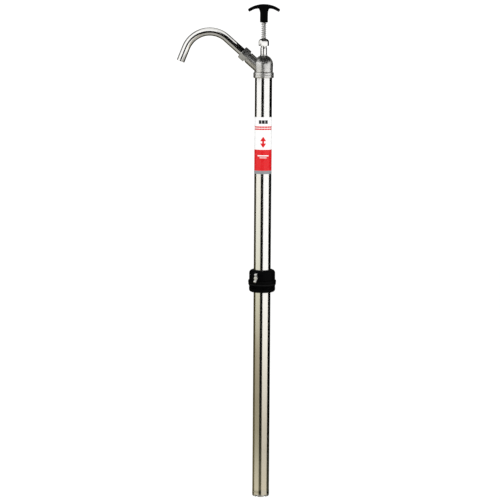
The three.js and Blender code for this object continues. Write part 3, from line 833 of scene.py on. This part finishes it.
def bung_plug():
    """The adapter: a threaded plug with a rounded nose, a rounded flange and a split sleeve."""
    low, high = size("adapter_body")
    flange_low, flange_high = size("bung_gasket")[1].z + 0.3, size("clamp_collar")[0].z - 0.3
    radius, bore, sleeve = PLUG["radius"], PLUG["bore"], PLUG["sleeve"]
    top = THREAD["top"]
    points = filleted([
        (bore, low.z, 0.8),
        (radius - 0.4, low.z, 7),
        (radius, low.z + 8.2, 0.5),
        (radius, flange_low, 0.2),
        (PLUG["flange"], flange_low, 1.8),
        (PLUG["flange"], flange_high, 2.6),
        (sleeve, flange_high, 0.4),
        (sleeve, high.z, 0.4),
        (bore, high.z, 0.3),
    ])
    skin_depth = 2
    points = split(points, 0.3, lambda r, z: r > radius - skin_depth and z < top)
    nose, run_in, run_out = 5.5, 3, 1.6

    def threaded(angle, r, z):
        if r < radius - skin_depth or z > top:
            return r
        fade = min(1, (top - z) / run_out) * min(1, max(0, (z - low.z - nose) / run_in))
        phase = (z / THREAD["pitch"] - angle / TURN) % 1
        return r - THREAD["depth"] * fade * (1 - abs(2 * phase - 1)) ** 0.8

    body = lathe("bung_plug", points, threaded, turn=128, sharp=50)
    slot_low = flange_high + 2
    height = high.z - slot_low + 2
    through = 60
    extents = ((through, PLUG["slot"], height), (PLUG["slot"], through, height))
    slots = [block((0, 0, slot_low + height / 2), extent) for extent in extents]
    return smoothed(combined("DIFFERENCE", body, *slots, screw_hole()), 50)


def bung_gasket():
    low, high = size("bung_gasket")
    inner = PLUG["radius"] + 0.15
    edge = 0.9
    return lathe("gasket", filleted([
        (inner, low.z, 0.2),
        (high.x, low.z, edge),
        (high.x, high.z, edge),
        (inner, high.z, 0.2),
    ]))


def clamp_cap():
    """The clamp's collar, with rounded shoulders and a flat boss for its screw."""
    low, high = size("clamp_collar")
    radius, inner, mouth = COLLAR["radius"], COLLAR["inner"], COLLAR["mouth"]
    shoulder = COLLAR["shoulder"]
    roof = high.z - COLLAR["roof"]
    points = [Vector((inner, low.z)), Vector((radius - 0.5, low.z)), Vector((radius, low.z + 0.6))]
    points += arc((radius - shoulder, high.z - shoulder), shoulder, 0, 90, 14)
    points += [Vector((mouth + 0.6, high.z)), Vector((mouth, high.z - 0.6))]
    points += [Vector((mouth, roof)), Vector((inner, roof))]
    shell = lathe("clamp_cap", points)
    inside_wall = 27
    boss = placed(cylinder(SCREW_HEAD["radius"], inside_wall, SCREW["hub"] - 0.7, 48), SCREW_PLACE)
    bored = combined("DIFFERENCE", combined("UNION", shell, boss), screw_hole())
    return eased(bored, 0.4, angle=45, segments=3)


def screw_wing():
    """One wing, from the middle of the screw's head out to its rounded tip."""
    edge = SCREW_HEAD["round"]
    tip = SCREW_HEAD["span"] - edge
    near = SCREW["hub"] + 0.8 + edge
    top = SCREW["head"] - edge
    corner = SCREW_HEAD["span"] - 3
    outline = bent((0, near), (4, near), (corner - 0.4, near), 4)
    outline += bent((corner, near), (tip, near + 0.2), (tip, SCREW["hub"] + 4.5), 6)
    outline += bent((tip, SCREW["hub"] + 4.6), (tip, top + 3.6), (corner - 0.4, top + 3.6), 8)
    outline += bent((corner - 0.8, top + 3.6), (5, top + 1.6), (3.6, top - 0.6), 8)
    outline += [Vector((0, top - 1))]
    return plate("wing", outline, SCREW_HEAD["thick"], edge)


def wing_screw():
    """The clamp's screw, with two rounded wings that flare outwards."""
    shank, tip, hub, head = SCREW["shank"], SCREW["tip"], SCREW["hub"], SCREW["head"]
    stem = lathe("stem", filleted([
        (0, tip, 0),
        (shank, tip, 0.5),
        (shank, hub, 0.3),
        (SCREW_HEAD["radius"], hub, 0.5),
        (SCREW_HEAD["top_radius"], head, 0.9),
        (0, head, 0),
    ]), turn=48)
    opposite = placed(screw_wing(), Matrix.Rotation(math.pi, 4, "Z"))
    winged = combined("UNION", stem, screw_wing(), opposite)
    return placed(winged, SCREW_PLACE @ Matrix.Rotation(math.radians(SCREW_HEAD["turn"]), 4, "Z"))


show(bung_plug(), "bung_plug", "bung_adapter", "black_plastic", "adapter_body")
show(bung_gasket(), "bung_seal", "bung_adapter", "black_rubber", "bung_gasket")
show(clamp_cap(), "clamp_cap", "bung_adapter", "black_plastic", "clamp_collar")
show(wing_screw(), "wing_screw", "clamp_screw", "satin_steel", "clamp_wing_screw")


# ---------- CAD nodes that stay ----------
def finish_frame_nodes():
    """Gives each CAD node the finish of its slot, on coordinates that need no UVs."""
    slots = {part["node"]: part["material_slot"] for part in frame["record"]["subparts"]}
    for name, node in frame["nodes"].items():
        material = IN_FRAME.get(slots[name])
        if material:
            node.data.materials.clear()
            node.data.materials.append(material)


finish_frame_nodes()


# ---------- studio ----------
def card(name, azimuths, lower, upper, shades):
    """A curved studio card that only reflections show, between two (radius, height) edges in metres.

    Azimuths are degrees from the front towards +X. Shades are (share of the way up, colour) stops.
    """
    steps = max(2, round(abs(azimuths[1] - azimuths[0]) / 3))
    bm = bmesh.new()
    surface = bm.loops.layers.uv.new("surface")
    columns = []
    for i in range(steps + 1):
        angle = math.radians(azimuths[0] + (azimuths[1] - azimuths[0]) * i / steps)
        spots = [(r * math.sin(angle), -r * math.cos(angle), z) for r, z in (lower, upper)]
        columns.append([bm.verts.new(spot) for spot in spots])
    for left, right in zip(columns, columns[1:]):
        face = bm.faces.new((left[0], right[0], right[1], left[1]))
        for loop, place in zip(face.loops, ((0, 0), (1, 0), (1, 1), (0, 1))):
            loop[surface].uv = place
    mesh = bpy.data.meshes.new(name)
    bm.to_mesh(mesh)
    bm.free()

    material = bpy.data.materials.new(name)
    material.use_nodes = True
    tree = material.node_tree
    tree.nodes.clear()
    place = tree.nodes.new("ShaderNodeTexCoord")
    axes = tree.nodes.new("ShaderNodeSeparateXYZ")
    ramp = tree.nodes.new("ShaderNodeValToRGB")
    glow = tree.nodes.new("ShaderNodeEmission")
    output = tree.nodes.new("ShaderNodeOutputMaterial")
    tree.links.new(place.outputs["UV"], axes.inputs[0])
    tree.links.new(axes.outputs["Y"], ramp.inputs["Fac"])
    tree.links.new(ramp.outputs["Color"], glow.inputs["Color"])
    tree.links.new(glow.outputs[0], output.inputs["Surface"])
    stops = ramp.color_ramp.elements
    stops.remove(stops[1])
    for i, (share, shade) in enumerate(shades):
        stop = stops[0] if i == 0 else stops.new(share)
        stop.position = share
        stop.color = (*shade, 1)
    mesh.materials.append(material)

    made = bpy.data.objects.new(name, mesh)
    bpy.context.scene.collection.objects.link(made)
    for ray in ("camera", "diffuse", "transmission", "volume_scatter", "shadow"):
        setattr(made, "visible_" + ray, False)


def wall(name, azimuths, shades, low=-1.4, high=0.9, radius=2.5):
    """A standing card whose shades are (height, colour) stops."""
    stops = [((z - low) / (high - low), shade) for z, shade in shades]
    card(name, azimuths, (radius, low), (radius, high), stops)


def studio():
    """Banks of light to both sides, dark flags between them, and a warm, dim zone low down."""
    black = (0.0, 0.0, 0.0)
    white = (1.1, 1.1, 1.1)
    pearl = (0.8, 0.8, 0.79)
    cream = (0.98, 0.95, 0.86)
    grey = (0.42, 0.41, 0.38)
    shade = (0.16, 0.16, 0.15)
    sand = (0.70, 0.63, 0.46)
    olive = (0.30, 0.27, 0.18)
    umber = (0.19, 0.16, 0.085)
    dusk = (0.05, 0.05, 0.03)
    wall("camera_side_flag", (-29, 8), [(-1.25, umber), (-1.1, dusk), (-0.95, black)])
    wall("right_bank", (8, 87), [
        (-1.2, sand),
        (-1.05, (0.55, 0.51, 0.42)),
        (-0.85, (0.70, 0.64, 0.54)),
        (-0.6, cream),
        (-0.3, white),
    ])
    wall("right_flag", (87, 172), [(-1.2, dusk), (-0.95, black)])
    wall("left_bank", (-100, -29), [
        (-1.2, sand),
        (-1.08, (0.52, 0.49, 0.37)),
        (-0.97, olive),
        (-0.65, (0.37, 0.32, 0.23)),
        (-0.42, (0.70, 0.68, 0.51)),
        (-0.2, (0.86, 0.86, 0.76)),
        (0.05, cream),
        (0.3, white),
    ])
    wall("left_flag", (-172, -100), [
        (-1.2, (0.14, 0.12, 0.065)),
        (-0.6, (0.06, 0.05, 0.022)),
        (0.3, (0.02, 0.017, 0.01)),
    ])
    wall("back_wall", (172, 188), [(0, shade)])

    table, sky, roof, middle = -1.4, 0.9, 2.6, 0.02
    card("front_table", (-90, 90), (middle, table), (2.5, table), [(0, grey)])
    card("back_table", (90, 270), (middle, table), (2.5, table), [(0, dusk)])
    card("front_sky", (-90, 90), (2.5, sky), (1.2, roof), [(0, white)])
    card("back_sky", (90, 270), (2.5, sky), (1.2, roof), [(0, shade)])
    card("top_sky", (0, 360), (1.2, roof), (middle, roof), [(0, pearl)])

    over_dome, round_neck, under_arm = 0.549, 0.0065, 0.47
    card("head_flag", (-70, 200), (0.13, over_dome), (round_neck, over_dome), [(0, black)])
    card("arm_flag", (-160, -70), (0.05, over_dome), (round_neck, over_dome), [(0, black)])
    card("high_flag", (5, 60), (1.1, 0.61), (1.1, 1.5), [(0, black)])
    card("low_flag", (-29, 5), (1.1, 0.61), (1.1, 0.95), [(0, black)])
    card("spout_table", (-88, -40), (0.28, under_arm), (0.075, under_arm), [(0, grey)])


def floor():
    """A pale floor well below the foot, which catches the pump's soft shadow."""
    height = -0.93
    bm = bmesh.new()
    bmesh.ops.create_circle(bm, cap_ends=True, segments=64, radius=14)
    mesh = bpy.data.meshes.new("floor")
    bm.to_mesh(mesh)
    bm.free()
    made = bpy.data.objects.new("floor", mesh)
    bpy.context.scene.collection.objects.link(made)
    made.location.z = height
    made.visible_glossy = False
    look = Look("pale_floor", "Object", {"Specular IOR Level": 0.0, "Roughness": 0.9})
    look.feed("Base Color", look.blend(look.noise(900), (0.93, 0.93, 0.93), (0.96, 0.96, 0.96)))
    mesh.materials.append(look.material)


def lights():
    """An even white surround, and a soft lamp at the front right."""
    world = bpy.data.worlds.new("studio")
    bpy.context.scene.world = world
    world.use_nodes = True
    background = world.node_tree.nodes["Background"]
    background.inputs["Color"].default_value = (1, 1, 1, 1)
    background.inputs["Strength"].default_value = 1.1
    data = bpy.data.lights.new("front_bank", "AREA")
    data.shape = "RECTANGLE"
    data.size, data.size_y = 2.5, 2.0
    data.energy = 9
    lamp = bpy.data.objects.new("front_bank", data)
    bpy.context.scene.collection.objects.link(lamp)
    lamp.location = (0.9, -2.6, 1.8)
    lamp.rotation_euler = (Vector((0, 0, 0.1)) - lamp.location).to_track_quat("-Z", "Y").to_euler()
    lamp.visible_glossy = False
    lamp.visible_camera = False


def camera():
    """The camera looks a little down at the pump from the front, and leans it a little to the right."""
    aim = Vector((-0.0276, 0, 0.0775))
    distance, elevation, roll = 3.6, math.radians(7.5), math.radians(0.353)
    data = bpy.data.cameras.new("camera")
    data.sensor_width = 36
    data.lens = 115.65
    made = bpy.data.objects.new("camera", data)
    bpy.context.scene.collection.objects.link(made)
    made.location = aim + distance * Vector((0, -math.cos(elevation), math.sin(elevation)))
    level = (aim - made.location).to_track_quat("-Z", "Y").to_matrix().to_4x4()
    made.rotation_euler = (level @ Matrix.Rotation(roll, 4, "Z")).to_euler()
    bpy.context.scene.camera = made


studio()
floor()
lights()
camera()
bpy.context.scene.view_settings.view_transform = "Standard"
